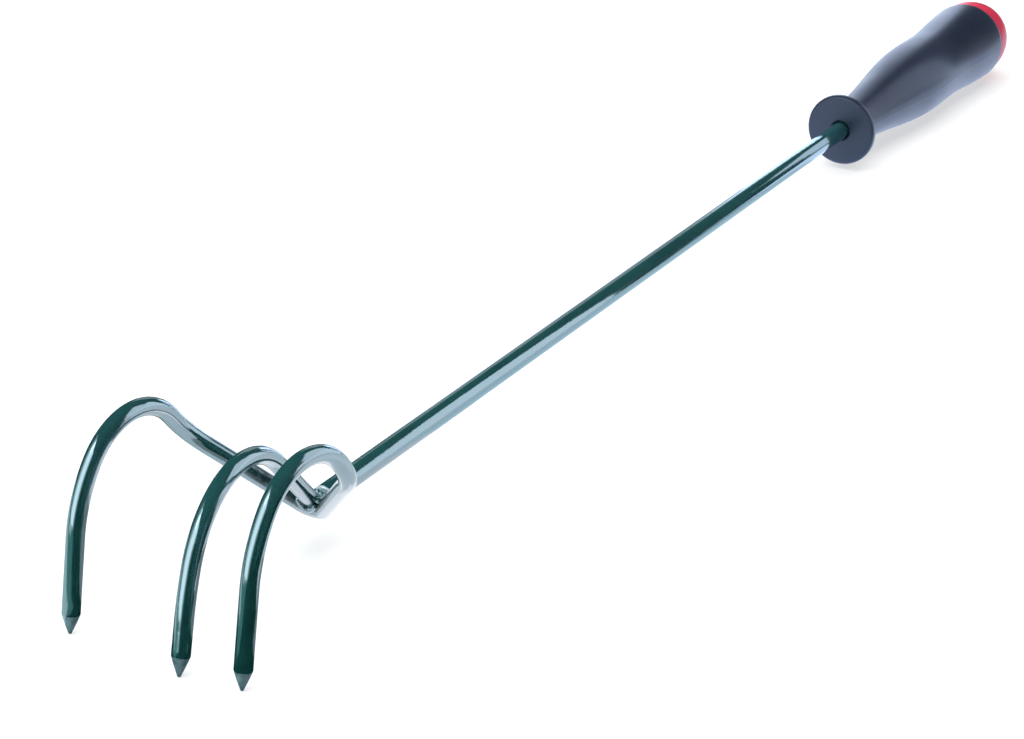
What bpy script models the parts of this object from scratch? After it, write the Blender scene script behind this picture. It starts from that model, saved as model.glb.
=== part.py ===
"""Garden cultivator: three bent and pointed tines welded to a long rod that ends in a moulded grip.

Units are metres; the sizes below are millimetres times MM. +Z is up, +Y runs from the tines to the grip
and +X runs across. The pieces are modelled on the tool's own axes, where the shaft lies along Y and the
outer tines' bend crosses under it at Y = 0. The finished tool then lies on a level floor, on its three
points and on the lower side of the grip's bulb, with the origin on that floor, under the middle of its
outline.
"""

import math

import bmesh
import bpy
from mathutils import Vector
from mathutils.geometry import intersect_point_line

MM = 0.001

# Rod sizes
SHAFT_RADIUS = 3.65 * MM
TINE_RADIUS = 2.85 * MM
SEAT_GAP = 0.3 * MM
MERGE_DISTANCE = 0.001 * MM

# Shaft, from its square-cut nose close behind the V to the end that stops inside the grip
SHAFT_NOSE_Y = 3.8 * MM
SHAFT_NOSE_CHAMFER = 0.5 * MM
SHAFT_IN_GRIP = 118.0 * MM
SHAFT_END_CHAMFER = 0.9 * MM

# Outer tines: one rod, bent to a V under the shaft and then to a hook on each side
FORK_BEND_Z = -2.5 * MM
FORK_BEND_RADIUS = 5.4 * MM
LEG_RISE = math.radians(38.8)
LEG_TURN = math.radians(48.5)
LEG_LENGTH = 35.0 * MM
SHOULDER_RADIUS = 29.0 * MM
HOOK_TURN = math.radians(0.5)
HOOK_RISE = math.radians(52.0)
CREST_RADIUS = 23.9 * MM
CREST_END_FALL = math.radians(50.0)
DROP_RADIUS = 44.6 * MM
TINE_FALL = math.radians(79.0)

# Centre tine: a shorter rod whose root is coped to stand on the V, right in front of the shaft's nose
CENTRE_ROOT = Vector((-1.18, 1.05, -1.17)) * MM
CENTRE_TURN = math.radians(8.06)
CENTRE_RISE = math.radians(46.65)
CENTRE_LEG_LENGTH = 34.3 * MM
CENTRE_CREST_RADIUS = 33.0 * MM
CENTRE_CREST_END_FALL = math.radians(63.5)
CENTRE_DROP_RADIUS = 86.5 * MM
CENTRE_TINE_FALL = math.radians(73.4)

# All three points end at one level below the shaft's axis
POINT_DEPTH = 14.4 * MM
POINT_LENGTH = 6.3 * MM
POINT_NOSE_LENGTH = 0.5 * MM
POINT_NOSE_FRACTION = 0.22
POINT_END_FRACTION = 0.09

# Grip, measured along Y from the flat front face of its flange
GRIP_FACE_Y = 385.7 * MM
FLANGE_RADIUS = 14.8 * MM
FLANGE_THICKNESS = 3.5 * MM
FLANGE_ROUNDING = 1.2 * MM
FLANGE_BACK_FILLET = 2.6 * MM
NECK_RADIUS = 9.4 * MM
NECK_Y = 9.5 * MM
BELLY_RADIUS = 15.8 * MM
BELLY_Y = 78.0 * MM
WAIST_RADIUS = 15.5 * MM
WAIST_Y = 97.0 * MM
BULB_RADIUS = 17.5 * MM
BULB_Y = 135.0 * MM
RIM_RADIUS = 16.9 * MM
RIM_Y = 137.8 * MM
BORE_RADIUS = SHAFT_RADIUS + SEAT_GAP
BORE_MOUTH_CHAMFER = 0.8 * MM
SOCKET_RADIUS = 13.4 * MM
SOCKET_DEPTH = 14.0 * MM

# End cap: a thin-walled dome with a spigot that plugs the grip's socket
CAP_LENGTH = 19.7 * MM
CAP_DOME_POWER = 2.35
CAP_WALL = 2.4 * MM
SPIGOT_LENGTH = 9.0 * MM
SPIGOT_LEAD_IN = 0.8 * MM

# Weld beads: half width, how far the middle line stands off both rods, and depth and pitch of the ripples
CROWN_BEAD = 1.5 * MM
COLLAR_BEAD = 1.7 * MM
ROOT_BEAD = 0.95 * MM
BEAD_STANDOFF = 0.45 * MM
BEAD_END_FRACTION = 0.35
RIPPLE_DEPTH = 0.1
RIPPLE_PITCH = 1.2 * MM
COLLAR_FILL = 0.9 * MM
CROWN_LEVEL = 1.5 * MM
CROWN_ANGLES = (math.radians(-25.0), math.radians(150.0))
COLLAR_ANGLES = (math.radians(-163.0), math.radians(-10.0))
ROOT_ANGLES = (math.radians(-165.0), math.radians(-35.0))

# Facets
BEND_STEP = math.radians(6.5)
TINE_SIDES = 22
SHAFT_SIDES = 32
WELD_SIDES = 12
GRIP_SEGMENTS = 44
ROUND_STEPS = 3
FILLET_STEPS = 4
BELLY_STEPS = 10
WAIST_STEPS = 4
BULB_STEPS = 7
DOME_STEPS = 9
HOLLOW_STEPS = 6
RIM_STEPS = 4
BEAD_STEP = 0.4 * MM
BEAD_ANGLES = 60
JOINT_REACH = 12.0 * MM
JOINT_STEP = 0.05 * MM
JOINT_STEPS = 480
SMOOTHING_PASSES = 10
BEAD_SHARP_ANGLE = math.radians(50.0)
SHARP_ANGLE = math.radians(20.0)
GRIP_SHARP_ANGLE = math.radians(40.0)


def clear_scene():
    for obj in list(bpy.data.objects):
        bpy.data.objects.remove(obj, do_unlink=True)


def make_material(name, colour, roughness, metallic):
    material = bpy.data.materials.new(name)
    material.use_nodes = True
    shader = material.node_tree.nodes["Principled BSDF"]
    shader.inputs["Base Color"].default_value = (*colour, 1.0)
    shader.inputs["Roughness"].default_value = roughness
    shader.inputs["Metallic"].default_value = metallic
    material.diffuse_color = (*colour, 1.0)
    return material


def link_piece(name, mesh, material, root, sharp_angle):
    mesh.name = name
    mesh.materials.clear()
    mesh.materials.append(material)
    mesh.shade_smooth()
    mesh.set_sharp_from_angle(angle=sharp_angle)
    piece = bpy.data.objects.new(name, mesh)
    piece.parent = root
    bpy.context.scene.collection.objects.link(piece)
    return piece


def direction(rise, turn):
    """Unit vector that points forward (-Y), climbs by rise and is turned towards +X by turn."""
    forward = math.cos(rise)
    return Vector((math.sin(turn) * forward, -math.cos(turn) * forward, math.sin(rise)))


class RodPath:
    """Centre line of a bent rod, laid down as straight runs and round bends."""

    def __init__(self, start, heading):
        self.points = [start.copy()]
        self.heading = heading.normalized()

    def run(self, length):
        self.points.append(self.points[-1] + self.heading * length)

    def bend(self, heading, radius):
        heading = heading.normalized()
        inward = (heading - self.heading * heading.dot(self.heading)).normalized()
        angle = self.heading.angle(heading)
        start = self.points[-1]
        steps = math.ceil(angle / BEND_STEP)
        for i in range(1, steps + 1):
            turned = angle * i / steps
            along = self.heading * math.sin(turned)
            across = inward * (1.0 - math.cos(turned))
            self.points.append(start + (along + across) * radius)
        self.heading = heading

    def run_down_to(self, z):
        self.run((z - self.points[-1].z) / self.heading.z)


def pointed(points):
    """Splits the last run for the ground point and returns the points with their fractions of the radius."""
    tip = points[-1]
    back = (points[-2] - tip).normalized()
    line = points[:-1] + [tip + back * POINT_LENGTH, tip + back * POINT_NOSE_LENGTH, tip]
    fractions = [1.0] * (len(line) - 2) + [POINT_NOSE_FRACTION, POINT_END_FRACTION]
    return line, fractions


def sweep(points, radius, fractions, sides):
    """Closed mesh of a round rod swept along points, with a flat cap at each end."""
    curve = bpy.data.curves.new("sweep", "CURVE")
    curve.dimensions = "3D"
    curve.bevel_depth = radius
    curve.bevel_resolution = sides // 2 - 2
    curve.use_fill_caps = True
    spline = curve.splines.new("POLY")
    spline.points.add(len(points) - 1)
    for target, point, fraction in zip(spline.points, points, fractions):
        target.co = (*point, 1.0)
        target.radius = fraction
    holder = bpy.data.objects.new("sweep", curve)
    bpy.context.scene.collection.objects.link(holder)
    graph = bpy.context.evaluated_depsgraph_get()
    mesh = bpy.data.meshes.new_from_object(holder.evaluated_get(graph))
    bpy.data.objects.remove(holder)
    bpy.data.curves.remove(curve)
    close_mesh(mesh)
    return mesh


def close_mesh(mesh):
    """Joins the caps to the sides and turns every face outwards."""
    shape = bmesh.new()
    shape.from_mesh(mesh)
    bmesh.ops.remove_doubles(shape, verts=shape.verts, dist=MERGE_DISTANCE)
    bmesh.ops.recalc_face_normals(shape, faces=shape.faces)
    shape.to_mesh(mesh)
    shape.free()


def turned(outline, segments):
    """Closed mesh turned about Y from a closed outline of (radius, y) points."""
    shape = bmesh.new()
    rings = []
    for radius, y in outline:
        if radius == 0.0:
            rings.append([shape.verts.new((0.0, y, 0.0))])
            continue
        ring = []
        for i in range(segments):
            angle = 2.0 * math.pi * i / segments - math.pi / 2
            ring.append(shape.verts.new((radius * math.cos(angle), y, radius * math.sin(angle))))
        rings.append(ring)
    for first, second in zip(rings, rings[1:] + rings[:1]):
        if len(first) == 1 and len(second) == 1:
            continue
        for i in range(segments):
            j = (i + 1) % segments
            corners = [first[i % len(first)], first[j % len(first)]]
            corners += [second[j % len(second)], second[i % len(second)]]
            shape.faces.new(list(dict.fromkeys(corners)))
    bmesh.ops.recalc_face_normals(shape, faces=shape.faces)
    mesh = bpy.data.meshes.new("turned")
    shape.to_mesh(mesh)
    shape.free()
    return mesh


def arc(centre, radius, start_degrees, end_degrees, steps):
    """Points of a round in an outline's (radius, y) plane; 0 degrees points outwards, 90 towards +Y."""
    points = []
    for i in range(steps + 1):
        angle = math.radians(start_degrees + (end_degrees - start_degrees) * i / steps)
        points.append((centre[0] + radius * math.cos(angle), centre[1] + radius * math.sin(angle)))
    return points


def ease(a, b, steps):
    """Smooth S-shaped stretch of an outline between two (radius, y) points, without its first point."""
    points = []
    for i in range(1, steps + 1):
        t = i / steps
        blend = t * t * (3.0 - 2.0 * t)
        points.append((a[0] + (b[0] - a[0]) * blend, a[1] + (b[1] - a[1]) * t))
    return points


def cut(piece, cutters, solver="EXACT"):
    for cutter in cutters:
        modifier = piece.modifiers.new(f"seat_{cutter.name}", "BOOLEAN")
        modifier.operation = "DIFFERENCE"
        modifier.solver = solver
        modifier.object = cutter


def make_cutter(name, mesh, root):
    cutter = bpy.data.objects.new(name, mesh)
    cutter.parent = root
    cutter.hide_render = True
    cutter.display_type = "WIRE"
    bpy.context.scene.collection.objects.link(cutter)
    return cutter


def fork_path():
    """Centre line of the outer tines' rod from the middle of the V to the right point."""
    path = RodPath(Vector((0.0, 0.0, FORK_BEND_Z)), Vector((1.0, 0.0, 0.0)))
    path.bend(direction(LEG_RISE, LEG_TURN), FORK_BEND_RADIUS)
    path.run(LEG_LENGTH)
    path.bend(direction(HOOK_RISE, HOOK_TURN), SHOULDER_RADIUS)
    path.bend(direction(-CREST_END_FALL, HOOK_TURN), CREST_RADIUS)
    path.bend(direction(-TINE_FALL, HOOK_TURN), DROP_RADIUS)
    path.run_down_to(-POINT_DEPTH)
    return path.points


def both_sides(half):
    """The right half of the outer tines' line with its mirror image put before it."""
    return [Vector((-p.x, p.y, p.z)) for p in reversed(half[1:])] + half


def centre_path():
    path = RodPath(CENTRE_ROOT, direction(CENTRE_RISE, CENTRE_TURN))
    path.run(CENTRE_LEG_LENGTH)
    path.bend(direction(-CENTRE_CREST_END_FALL, CENTRE_TURN), CENTRE_CREST_RADIUS)
    path.bend(direction(-CENTRE_TINE_FALL, CENTRE_TURN), CENTRE_DROP_RADIUS)
    path.run_down_to(-POINT_DEPTH)
    return path.points


def make_outer_tines(material, root):
    half, fractions = pointed(fork_path())
    points = both_sides(half)
    fractions = list(reversed(fractions[1:])) + fractions
    mesh = sweep(points, TINE_RADIUS, fractions, TINE_SIDES)
    piece = link_piece("outer_tines", mesh, material, root, SHARP_ANGLE)
    clearance = sweep(points, TINE_RADIUS + SEAT_GAP, fractions, TINE_SIDES)
    return piece, make_cutter("outer_tines_clearance", clearance, root)


def make_centre_tine(material, root, cutters):
    points, fractions = pointed(centre_path())
    mesh = sweep(points, TINE_RADIUS, fractions, TINE_SIDES)
    piece = link_piece("centre_tine", mesh, material, root, SHARP_ANGLE)
    cut(piece, cutters)
    back = points[0] - direction(CENTRE_RISE, CENTRE_TURN) * SEAT_GAP
    clearance = sweep([back] + points[1:], TINE_RADIUS + SEAT_GAP, fractions, TINE_SIDES)
    return piece, make_cutter("centre_tine_clearance", clearance, root)


def make_shaft(material, root):
    end_y = GRIP_FACE_Y + SHAFT_IN_GRIP
    outline = [
        (0.0, SHAFT_NOSE_Y),
        (SHAFT_RADIUS - SHAFT_NOSE_CHAMFER, SHAFT_NOSE_Y),
        (SHAFT_RADIUS, SHAFT_NOSE_Y + SHAFT_NOSE_CHAMFER),
        (SHAFT_RADIUS, end_y - SHAFT_END_CHAMFER),
        (SHAFT_RADIUS - SHAFT_END_CHAMFER, end_y),
        (0.0, end_y),
    ]
    piece = link_piece("shaft", turned(outline, SHAFT_SIDES), material, root, SHARP_ANGLE)
    clear_radius = SHAFT_RADIUS + SEAT_GAP
    clear_outline = [
        (0.0, SHAFT_NOSE_Y - SEAT_GAP),
        (clear_radius, SHAFT_NOSE_Y - SEAT_GAP),
        (clear_radius, GRIP_FACE_Y),
        (0.0, GRIP_FACE_Y),
    ]
    return piece, make_cutter("shaft_clearance", turned(clear_outline, SHAFT_SIDES), root)


def distance_to(path, point):
    """Distance from a point to a line of points."""
    nearest = math.inf
    for start, end in zip(path, path[1:]):
        along = intersect_point_line(point, start, end)[1]
        nearest = min(nearest, (point - start.lerp(end, min(max(along, 0.0), 1.0))).length)
    return nearest


def joint_line(base, axis, radius, others, angles):
    """Middle line of a bead in the corner where a straight rod runs into other rods.

    The straight rod leaves base along axis; angles go round it from its right side towards its upper side.
    At each angle the line stands off the rod and the nearest of the others, which are pairs of a line of
    points and a radius, by the same amount.
    """
    right = axis.cross(Vector((0.0, 0.0, 1.0))).normalized()
    if right.x < 0.0:
        right.negate()
    upper = right.cross(axis).normalized()
    if upper.z < 0.0:
        upper.negate()
    line = []
    for i in range(BEAD_ANGLES + 1):
        angle = angles[0] + (angles[1] - angles[0]) * i / BEAD_ANGLES
        side = (right * math.cos(angle) + upper * math.sin(angle)) * (radius + BEAD_STANDOFF)
        for step in range(JOINT_STEPS):
            point = base + side + axis * (JOINT_REACH - JOINT_STEP * step)
            if min(distance_to(path, point) - width for path, width in others) < BEAD_STANDOFF:
                line.append(point)
                break
    for _ in range(SMOOTHING_PASSES):
        between = [(a + b * 2.0 + c) / 4.0 for a, b, c in zip(line, line[1:], line[2:])]
        line = [line[0]] + between + [line[-1]]
    return line


def spaced(line, step):
    """Points at an even step along a line of points."""
    lengths = [(b - a).length for a, b in zip(line, line[1:])]
    count = round(sum(lengths) / step)
    points = []
    for i in range(count + 1):
        left = sum(lengths) * i / count
        for (start, end), length in zip(zip(line, line[1:]), lengths):
            if left <= length:
                break
            left -= length
        points.append(start.lerp(end, min(left / length, 1.0)))
    return points


def bead(line, radius):
    """Rippled weld bead along a line; its ends taper off."""
    points = spaced(line, BEAD_STEP)
    length = BEAD_STEP * (len(points) - 1)
    fractions = []
    for i in range(len(points)):
        travelled = BEAD_STEP * i
        ripple = 1.0 + RIPPLE_DEPTH * (abs(math.sin(math.pi * travelled / RIPPLE_PITCH)) - 0.5)
        from_end = min(travelled, length - travelled, radius) / radius
        taper = math.sqrt(1.0 - (1.0 - from_end) ** 2)
        fractions.append(ripple * max(taper, BEAD_END_FRACTION))
    return points, fractions


def make_welds(material, root, rods):
    """Beads that join the shaft, the V of the outer tines and the root of the centre tine."""
    fork = both_sides(fork_path())
    # A bar as thick as the shaft lies across behind the nose's flat face and stands in for that face
    bar_y = SHAFT_NOSE_Y + SHAFT_RADIUS
    bar_end = 2.0 * SHAFT_RADIUS
    bar = [Vector((-bar_end, bar_y, CROWN_LEVEL)), Vector((bar_end, bar_y, CROWN_LEVEL))]
    backwards = Vector((0.0, 1.0, 0.0))
    tine_axis = direction(CENTRE_RISE, CENTRE_TURN)
    origin = Vector((0.0, 0.0, 0.0))
    vee = (fork, TINE_RADIUS)
    filled_vee = (fork, TINE_RADIUS + COLLAR_FILL)
    collar = joint_line(origin, backwards, SHAFT_RADIUS, [filled_vee], COLLAR_ANGLES)
    crown = joint_line(CENTRE_ROOT, tine_axis, TINE_RADIUS, [vee, (bar, SHAFT_RADIUS)], CROWN_ANGLES)
    tine_root = joint_line(CENTRE_ROOT, tine_axis, TINE_RADIUS, [vee], ROOT_ANGLES)
    laid = []
    for name, line, radius in (
        ("weld_crown", crown, CROWN_BEAD),
        ("weld_collar", collar, COLLAR_BEAD),
        ("weld_root", tine_root, ROOT_BEAD),
    ):
        points, fractions = bead(line, radius)
        mesh = sweep(points, radius, fractions, WELD_SIDES)
        piece = link_piece(name, mesh, material, root, BEAD_SHARP_ANGLE)
        # A bead's rings overlap inside a tight bend, and the exact solver can't cut such a mesh
        cut(piece, rods + laid, "MANIFOLD")
        clearance = sweep(points, radius + SEAT_GAP, fractions, WELD_SIDES)
        laid.append(make_cutter(f"{name}_clearance", clearance, root))


def grip_outline():
    """Outline from the bore's mouth over flange, neck, belly, waist and bulb, and back through the bore."""
    rim = (FLANGE_RADIUS - FLANGE_ROUNDING, FLANGE_ROUNDING)
    back_rim = (FLANGE_RADIUS - FLANGE_ROUNDING, FLANGE_THICKNESS - FLANGE_ROUNDING)
    fillet = (NECK_RADIUS + FLANGE_BACK_FILLET, FLANGE_THICKNESS + FLANGE_BACK_FILLET)
    outline = [(BORE_RADIUS, BORE_MOUTH_CHAMFER), (BORE_RADIUS + BORE_MOUTH_CHAMFER, 0.0)]
    outline += arc(rim, FLANGE_ROUNDING, -90.0, 0.0, ROUND_STEPS)
    outline += arc(back_rim, FLANGE_ROUNDING, 0.0, 90.0, ROUND_STEPS)
    outline += arc(fillet, FLANGE_BACK_FILLET, 270.0, 180.0, FILLET_STEPS)
    outline += [(NECK_RADIUS, NECK_Y)]
    outline += ease((NECK_RADIUS, NECK_Y), (BELLY_RADIUS, BELLY_Y), BELLY_STEPS)
    outline += ease((BELLY_RADIUS, BELLY_Y), (WAIST_RADIUS, WAIST_Y), WAIST_STEPS)
    outline += ease((WAIST_RADIUS, WAIST_Y), (BULB_RADIUS, BULB_Y), BULB_STEPS)
    outline += rounded_in(BULB_RADIUS, BULB_Y, RIM_RADIUS, RIM_Y, RIM_STEPS)
    outline += [
        (SOCKET_RADIUS, RIM_Y),
        (SOCKET_RADIUS, RIM_Y - SOCKET_DEPTH),
        (BORE_RADIUS, RIM_Y - SOCKET_DEPTH),
    ]
    return [(radius, GRIP_FACE_Y + y) for radius, y in outline]


def rounded_in(wide_radius, wide_y, rim_radius, rim_y, steps):
    """Outline from the widest point of a bulb, where it runs along the axis, in to its rim."""
    points = []
    for i in range(1, steps + 1):
        t = i / steps
        points.append((wide_radius - (wide_radius - rim_radius) * t * t, wide_y + (rim_y - wide_y) * t))
    return points


def dome(base_radius, base_y, height, steps):
    """Rounded end of an outline from its rim to the point on the axis."""
    points = []
    for i in range(steps):
        angle = math.pi / 2 * i / steps
        radius = base_radius * math.cos(angle) ** (2.0 / CAP_DOME_POWER)
        points.append((radius, base_y + height * math.sin(angle) ** (2.0 / CAP_DOME_POWER)))
    return points + [(0.0, base_y + height)]


def cap_outline():
    """Outline of the dome, the inside of its wall, the spigot's open mouth and the shoulder on the grip."""
    rim_y = RIM_Y + SEAT_GAP
    spigot_radius = SOCKET_RADIUS - SEAT_GAP
    hollow_radius = spigot_radius - CAP_WALL
    mouth_y = rim_y - SPIGOT_LENGTH
    outline = dome(RIM_RADIUS, rim_y, CAP_LENGTH, DOME_STEPS)
    outline += reversed(dome(hollow_radius, rim_y, CAP_LENGTH - CAP_WALL, HOLLOW_STEPS))
    outline += [
        (hollow_radius, mouth_y),
        (spigot_radius - SPIGOT_LEAD_IN, mouth_y),
        (spigot_radius, mouth_y + SPIGOT_LEAD_IN),
        (spigot_radius, rim_y),
    ]
    return [(radius, GRIP_FACE_Y + y) for radius, y in outline]


def make_grip(material, root):
    link_piece("grip", turned(grip_outline(), GRIP_SEGMENTS), material, root, GRIP_SHARP_ANGLE)


def make_end_cap(material, root):
    link_piece("end_cap", turned(cap_outline(), GRIP_SEGMENTS), material, root, GRIP_SHARP_ANGLE)


def lay_on_floor(root):
    """Pitches the tool until the points and the bulb are level, then moves it over the origin."""
    point_y = fork_path()[-1].y
    bulb_y = GRIP_FACE_Y + BULB_Y
    root.rotation_euler.x = math.atan2(BULB_RADIUS - POINT_DEPTH, bulb_y - point_y)
    bpy.context.view_layer.update()
    corners = []
    for piece in root.children:
        if not piece.hide_render:
            corners += [piece.matrix_world @ vertex.co for vertex in piece.data.vertices]
    lowest = Vector([min(c[i] for c in corners) for i in range(3)])
    highest = Vector([max(c[i] for c in corners) for i in range(3)])
    middle = (lowest + highest) / 2
    root.location = (-middle.x, -middle.y, -lowest.z)


def main():
    clear_scene()
    paint = make_material("green_paint", (0.012, 0.075, 0.085), 0.22, 0.0)
    black = make_material("black_plastic", (0.035, 0.038, 0.06), 0.45, 0.0)
    red = make_material("red_plastic", (0.52, 0.02, 0.05), 0.35, 0.0)
    root = bpy.data.objects.new("cultivator", None)
    bpy.context.scene.collection.objects.link(root)

    _, fork_clearance = make_outer_tines(paint, root)
    _, centre_clearance = make_centre_tine(paint, root, [fork_clearance])
    _, shaft_clearance = make_shaft(paint, root)
    make_welds(paint, root, [fork_clearance, centre_clearance, shaft_clearance])
    make_grip(black, root)
    make_end_cap(red, root)
    lay_on_floor(root)


main()
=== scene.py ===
"""Looks for the garden cultivator: enamelled rods, rippled welds, a satin grip and a red end cap."""

import math

import bmesh
import bpy
from mathutils import Matrix, Vector, noise


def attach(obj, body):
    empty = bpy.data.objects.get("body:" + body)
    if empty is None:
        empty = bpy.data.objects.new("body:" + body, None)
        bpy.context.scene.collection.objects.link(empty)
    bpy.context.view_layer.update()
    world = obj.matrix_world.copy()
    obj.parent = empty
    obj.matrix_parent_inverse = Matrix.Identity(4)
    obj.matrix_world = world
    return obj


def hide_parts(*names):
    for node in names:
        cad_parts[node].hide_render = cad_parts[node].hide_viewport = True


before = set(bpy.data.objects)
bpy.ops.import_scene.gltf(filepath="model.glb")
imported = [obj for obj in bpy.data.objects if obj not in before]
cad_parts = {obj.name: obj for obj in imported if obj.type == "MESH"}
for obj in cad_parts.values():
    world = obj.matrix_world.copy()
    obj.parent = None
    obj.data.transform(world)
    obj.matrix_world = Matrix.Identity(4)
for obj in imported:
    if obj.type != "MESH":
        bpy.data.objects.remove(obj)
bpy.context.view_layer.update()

MM = 0.001

# The tool's own axes in the row frame: shaft along Y, outer tines' bend under Y = 0
TOOL_PITCH = 0.0051399
TOOL_SHIFT = Vector((0.0, -0.2285300, 0.0149107))

# Rods; the outer tines are made thinner by the slack, so that they stay inside the solids' box
SHAFT_RADIUS = 3.65 * MM
TINE_RADIUS = 2.85 * MM
BOX_SLACK = 0.035 * MM
SEAT_GAP = 0.3 * MM

# Shaft, from its nose close behind the V to the end that stops inside the grip
SHAFT_NOSE_Y = 3.8 * MM
SHAFT_NOSE_ROUNDING = 0.8 * MM
SHAFT_IN_GRIP = 118.0 * MM

# Outer tines: one rod, bent to a V under the shaft and then to a hook on each side
FORK_BEND_Z = -2.5 * MM
FORK_BEND_RADIUS = 5.4 * MM
LEG_RISE = math.radians(38.8)
LEG_TURN = math.radians(48.5)
LEG_LENGTH = 35.0 * MM
SHOULDER_RADIUS = 29.0 * MM
HOOK_TURN = math.radians(0.5)
HOOK_RISE = math.radians(52.0)
CREST_RADIUS = 23.9 * MM
CREST_END_FALL = math.radians(50.0)
DROP_RADIUS = 44.6 * MM
TINE_FALL = math.radians(79.0)

# Centre tine, whose root stands on the V in front of the shaft's nose
CENTRE_ROOT = Vector((-1.18, 1.05, -1.17)) * MM
CENTRE_TURN = math.radians(8.06)
CENTRE_RISE = math.radians(46.65)
CENTRE_LEG_LENGTH = 34.3 * MM
CENTRE_CREST_RADIUS = 33.0 * MM
CENTRE_CREST_END_FALL = math.radians(63.5)
CENTRE_DROP_RADIUS = 86.5 * MM
CENTRE_TINE_FALL = math.radians(73.4)

# Ground points, which end at one level below the shaft's axis
POINT_DEPTH = 14.4 * MM
POINT_LENGTH = 6.3 * MM
POINT_NOSE_LENGTH = 0.5 * MM
POINT_NOSE_FRACTION = 0.22
POINT_END_FRACTION = 0.09
POINT_SWELL = 0.03

# Grip, measured along Y from the flat front face of its flange, and end cap
GRIP_FACE_Y = 385.7 * MM
FLANGE_RADIUS = 14.8 * MM
FLANGE_THICKNESS = 3.5 * MM
FLANGE_ROUNDING = 1.2 * MM
FLANGE_BACK_FILLET = 2.6 * MM
NECK_RADIUS = 9.4 * MM
NECK_Y = 9.5 * MM
BELLY_RADIUS = 15.8 * MM
BELLY_Y = 78.0 * MM
WAIST_RADIUS = 15.5 * MM
WAIST_Y = 97.0 * MM
BULB_RADIUS = 17.5 * MM
BULB_Y = 135.0 * MM
RIM_RADIUS = 16.9 * MM
RIM_Y = 137.8 * MM
RIM_ROUNDING = 0.25 * MM
RIM_START_DEGREES = 15.0
BORE_RADIUS = SHAFT_RADIUS + SEAT_GAP
BORE_MOUTH_CHAMFER = 0.8 * MM
SOCKET_RADIUS = 13.4 * MM
SOCKET_DEPTH = 14.0 * MM
CAP_LENGTH = 19.7 * MM
CAP_DOME_POWER = 2.35
CAP_WALL = 2.4 * MM
SPIGOT_LENGTH = 9.0 * MM
SPIGOT_LEAD_IN = 0.8 * MM

# Weld beads: half widths, where they lie round their rods, and their ripples and lumps
CROWN_BEAD = 1.5 * MM
COLLAR_BEAD = 1.7 * MM
ROOT_BEAD = 0.95 * MM
BEAD_STANDOFF = 0.45 * MM
COLLAR_FILL = 0.9 * MM
CROWN_LEVEL = 1.5 * MM
CROWN_ANGLES = (math.radians(-25.0), math.radians(150.0))
COLLAR_ANGLES = (math.radians(-163.0), math.radians(-10.0))
ROOT_ANGLES = (math.radians(-165.0), math.radians(-35.0))
RIPPLE_PITCH = 0.8 * MM
RIPPLE_DEPTH = 0.09
RIPPLE_BOW = 0.7 * MM
RIPPLE_MEAN = 0.6
LUMP_DEPTH = 0.1
LUMP_SIZE = 2.2 * MM
LUMP_SHIFT = 0.35
BEAD_END_FRACTION = 0.12

# Parting seam of the moulded grip
SEAM_WIDTH = math.radians(1.6)
SEAM_HEIGHT = 0.07 * MM
SEAM_LEAST_RADIUS = NECK_RADIUS * 0.99

# Painted shade in the paint: a gritty place beside the joint, darker in its grit, and darker inner sides
# near the V
GRIT_AND_SHADE_PLACE = Vector((6.0, -6.0, 6.0)) * MM
GRIT_AND_SHADE_REACH = (5.6 * MM, 10.0 * MM)
INNER_SHADE_REACH = (20.0 * MM, 31.0 * MM)

# Fineness of the meshes
BEND_STEP = math.radians(2.5)
ROD_SIDES = 56
GRIP_SEGMENTS = 144
BEAD_STEP = 0.14 * MM
BEAD_SIDES = 28
BEAD_ANGLES = 60
JOINT_REACH = 12.0 * MM
JOINT_STEP = 0.05 * MM
JOINT_STEPS = 480
SMOOTHING_PASSES = 10
LEG_STEPS = 12
STRAIGHT_STEPS = 6
CONE_STEPS = 14
POINT_NOSE_STEPS = 5
SHAFT_NOSE_STEPS = 6
SHAFT_STEPS = 80
MOUTH_STEPS = 5
FLANGE_STEPS = 8
FILLET_STEPS = 10
BELLY_STEPS = 40
WAIST_STEPS = 12
BULB_STEPS = 24
BULB_END_STEPS = 10
RIM_STEPS = 4
DOME_STEPS = 36
HOLLOW_STEPS = 14
FULL_RADIUS_SHARE = 0.999
SMOOTH_ANGLE = math.radians(35.0)

# Colours of the pieces: red, green and blue
ENAMEL_DEEP = (0.004, 0.050, 0.046)
ENAMEL_PALE = (0.008, 0.068, 0.062)
ENAMEL_SPECK = (0.02, 0.10, 0.09)
ENAMEL_THIN = (0.14, 0.28, 0.31)
ENAMEL_TINT = (0.70, 0.88, 1.0)
# Painted highlight: pale paint on the rounded edge of the shaft's nose
RIM_HIGHLIGHT_PALE = (0.52, 0.61, 0.64)
# Painted highlight: pale paint on the crests of the welds' ripples
WELD_CREST_HIGHLIGHT = (0.38, 0.50, 0.52)
# Painted shade: dark paint for the grit beside the joint and for the inner sides near the V
PAINTED_SHADE_COLOUR = (0.003, 0.018, 0.020)
GRIP_DEEP = (0.009, 0.011, 0.022)
GRIP_RUBBED = (0.012, 0.014, 0.028)
GRIP_TINT = (0.60, 0.74, 1.0)
GRIP_SHEEN = (0.52, 0.70, 1.0)
CAP_DEEP = (0.54, 0.028, 0.065)
CAP_PALE = (0.62, 0.038, 0.08)

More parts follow.
